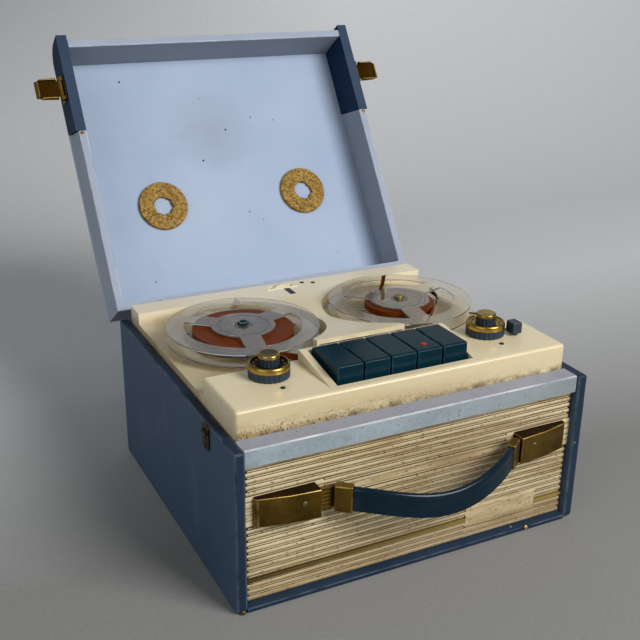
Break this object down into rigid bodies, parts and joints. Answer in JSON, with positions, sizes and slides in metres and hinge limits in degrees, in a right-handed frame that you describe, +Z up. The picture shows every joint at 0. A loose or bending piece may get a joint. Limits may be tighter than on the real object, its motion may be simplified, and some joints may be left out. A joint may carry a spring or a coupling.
{
  "type": "reel-to-reel tape recorder",
  "caption": "Portable valve tape recorder in a suitcase with a hinged lid, ribbed front and strap handle; reels, piano keys, double knobs, latches and drive all move.",
  "frame": {"origin": "on the floor under the middle of the case", "axes": "+Z up, front with the handle faces -Y, +X to the right as seen from the front"},
  "size_m": [0.4176, 0.5733, 0.4189],
  "materials": {
    "case_covering": "dark blue leatherette on board",
    "lid_lining": "light blue covering on board",
    "bare_wood": "plain",
    "drive_rubber": "matt",
    "grille_plastic": "ribbed, soiled",
    "deck_plastic": "satin moulding",
    "brass_plate": "tarnished",
    "trim_gold": "lacquered",
    "steel_plain": "plain",
    "sheet_metal": "plain",
    "motor_paint": "grey paint",
    "strap_plastic": "ribbed strap",
    "key_plastic": "satin moulding",
    "knob_plastic": "fluted, with a gold rim",
    "clear_plastic": "clear",
    "tape_oxide": "satin",
    "pad_cork": "coarse cork",
    "valve_glass": "clear",
    "black_plastic": "plain",
    "bearing_bronze": "plain"
  },
  "bodies": {
    "case": {"case_bottom": "case_covering", "case_side_left": "case_covering", "case_side_right": "case_covering", "case_back": "case_covering", "front_rail": "lid_lining", "deck_rails": "bare_wood", "drive_belt": "drive_rubber", "front_grille": "grille_plastic", "deck_cover": "deck_plastic", "head_cover": "deck_plastic", "handle_brackets": "brass_plate", "latch_keepers": "brass_plate", "hinge_case_leaves": "brass_plate", "grille_trim": "trim_gold", "hinge_pins": "trim_gold", "tape_heads": "steel_plain", "tape_guides": "steel_plain", "key_axle": "steel_plain", "chassis_plate": "sheet_metal", "amplifier_chassis": "sheet_metal", "control_pots": "sheet_metal", "motor": "motor_paint", "transformer": "motor_paint", "loudspeaker": "motor_paint", "tape_run": "tape_oxide", "valves": "valve_glass", "counter_unit": "black_plastic", "mains_inlet": "black_plastic", "shaft_bearings": "bearing_bronze"},
    "lid": {"lid_frame": "lid_lining", "lid_panel": "lid_lining", "lid_cheeks": "case_covering", "latch_bases": "brass_plate", "reel_pads": "pad_cork", "hinge_lid_leaves": "brass_plate"},
    "latch_left": {"latch_lever_left": "brass_plate"},
    "latch_right": {"latch_lever_right": "brass_plate"},
    "handle": {"handle_ends": "brass_plate", "handle_grip": "strap_plastic"},
    "selector": {"selector_lever": "key_plastic"},
    "reel_left": {"reel_left": "clear_plastic", "tape_pack_left": "tape_oxide", "reel_table_left": "steel_plain"},
    "reel_right": {"reel_right": "clear_plastic", "tape_pack_right": "tape_oxide", "reel_table_right": "steel_plain"},
    "flywheel": {"capstan_flywheel": "steel_plain"},
    "motor_pulley": {"motor_pulley": "trim_gold"},
    "pinch_arm": {"pinch_arm": "steel_plain"},
    "pinch_roller": {"pinch_roller": "drive_rubber"},
    "counter_wheel": {"counter_wheel": "deck_plastic"},
    "key_rewind": {"key_rewind": "key_plastic"},
    "key_stop": {"key_stop": "key_plastic"},
    "key_play": {"key_play": "key_plastic"},
    "key_record": {"key_record": "key_plastic"},
    "key_forward": {"key_forward": "key_plastic"},
    "left_outer_knob": {"left_outer_knob": "knob_plastic"},
    "left_inner_knob": {"left_inner_knob": "knob_plastic"},
    "right_outer_knob": {"right_outer_knob": "knob_plastic"},
    "right_inner_knob": {"right_inner_knob": "knob_plastic"}
  },
  "joints": [
    {"name": "lid_hinge", "type": "hinge", "parent": "case", "child": "lid", "pos_m": [0, 0.162, 0.1538], "axis": [1, 0, 0], "range_deg": [0, 123.5]},
    {"name": "latch_left_swing", "type": "hinge", "parent": "lid", "child": "latch_left", "pos_m": [-0.1811, 0.31129, 0.36558], "axis": [0, 0.5519, 0.8339], "range_deg": [0, 90]},
    {"name": "latch_right_swing", "type": "hinge", "parent": "lid", "child": "latch_right", "pos_m": [0.1811, 0.31129, 0.36558], "axis": [0, -0.5519, -0.8339], "range_deg": [0, 90]},
    {"name": "handle_slide", "type": "slide", "parent": "case", "child": "handle", "axis": [-1, 0, 0], "range_m": [0, 0.011]},
    {"name": "selector_slide", "type": "slide", "parent": "case", "child": "selector", "axis": [0, 1, 0], "range_m": [0, 0.018]},
    {"name": "reel_left_turn", "type": "hinge", "parent": "case", "child": "reel_left", "pos_m": [-0.087, 0.0354, 0.17], "axis": [0, 0, 1], "continuous": true},
    {"name": "reel_right_turn", "type": "hinge", "parent": "case", "child": "reel_right", "pos_m": [0.087, 0.0354, 0.17], "axis": [0, 0, 1], "continuous": true},
    {"name": "flywheel_turn", "type": "hinge", "parent": "case", "child": "flywheel", "pos_m": [0.03, -0.046, 0.122], "axis": [0, 0, 1], "continuous": true},
    {"name": "motor_pulley_turn", "type": "hinge", "parent": "case", "child": "motor_pulley", "pos_m": [0.06, 0.0694, 0.122], "axis": [0, 0, 1], "continuous": true},
    {"name": "pinch_arm_swing", "type": "hinge", "parent": "case", "child": "pinch_arm", "pos_m": [0.05, -0.0557, 0.159], "axis": [0, 0, -1], "range_deg": [0, 3.2], "stiffness_Nm_per_rad": 0.05, "springref_deg": -5.73},
    {"name": "pinch_roller_turn", "type": "hinge", "parent": "pinch_arm", "child": "pinch_roller", "pos_m": [0.03, -0.0557, 0.167], "axis": [0, 0, 1], "continuous": true},
    {"name": "counter_wheel_turn", "type": "hinge", "parent": "case", "child": "counter_wheel", "pos_m": [-0.001, 0.1375, 0.1574], "axis": [0, 1, 0], "continuous": true},
    {"name": "key_rewind_press", "type": "hinge", "parent": "case", "child": "key_rewind", "pos_m": [0, -0.073, 0.168], "axis": [1, 0, 0], "range_deg": [0, 7], "stiffness_Nm_per_rad": 0.6, "springref_deg": -5.73},
    {"name": "key_stop_press", "type": "hinge", "parent": "case", "child": "key_stop", "pos_m": [0, -0.073, 0.168], "axis": [1, 0, 0], "range_deg": [0, 7], "stiffness_Nm_per_rad": 0.6, "springref_deg": -5.73},
    {"name": "key_play_press", "type": "hinge", "parent": "case", "child": "key_play", "pos_m": [0, -0.073, 0.168], "axis": [1, 0, 0], "range_deg": [0, 7], "stiffness_Nm_per_rad": 0.6, "springref_deg": -5.73},
    {"name": "key_record_press", "type": "hinge", "parent": "case", "child": "key_record", "pos_m": [0, -0.073, 0.168], "axis": [1, 0, 0], "range_deg": [0, 7], "stiffness_Nm_per_rad": 0.6, "springref_deg": -5.73},
    {"name": "key_forward_press", "type": "hinge", "parent": "case", "child": "key_forward", "pos_m": [0, -0.073, 0.168], "axis": [1, 0, 0], "range_deg": [0, 7], "stiffness_Nm_per_rad": 0.6, "springref_deg": -5.73},
    {"name": "left_outer_knob_turn", "type": "hinge", "parent": "case", "child": "left_outer_knob", "pos_m": [-0.1115, -0.0809, 0.181], "axis": [0, 0, 1], "range_deg": [-150, 150]},
    {"name": "left_inner_knob_turn", "type": "hinge", "parent": "case", "child": "left_inner_knob", "pos_m": [-0.1115, -0.0809, 0.181], "axis": [0, 0, 1], "range_deg": [-150, 150]},
    {"name": "right_outer_knob_turn", "type": "hinge", "parent": "case", "child": "right_outer_knob", "pos_m": [0.1115, -0.0809, 0.181], "axis": [0, 0, 1], "range_deg": [-150, 150]},
    {"name": "right_inner_knob_turn", "type": "hinge", "parent": "case", "child": "right_inner_knob", "pos_m": [0.1115, -0.0809, 0.181], "axis": [0, 0, 1], "range_deg": [-150, 150]}
  ],
  "couplings": [
    {"joint": "reel_right_turn", "follows": "reel_left_turn", "ratio": 1.2222},
    {"joint": "motor_pulley_turn", "follows": "flywheel_turn", "ratio": 6}
  ]
}
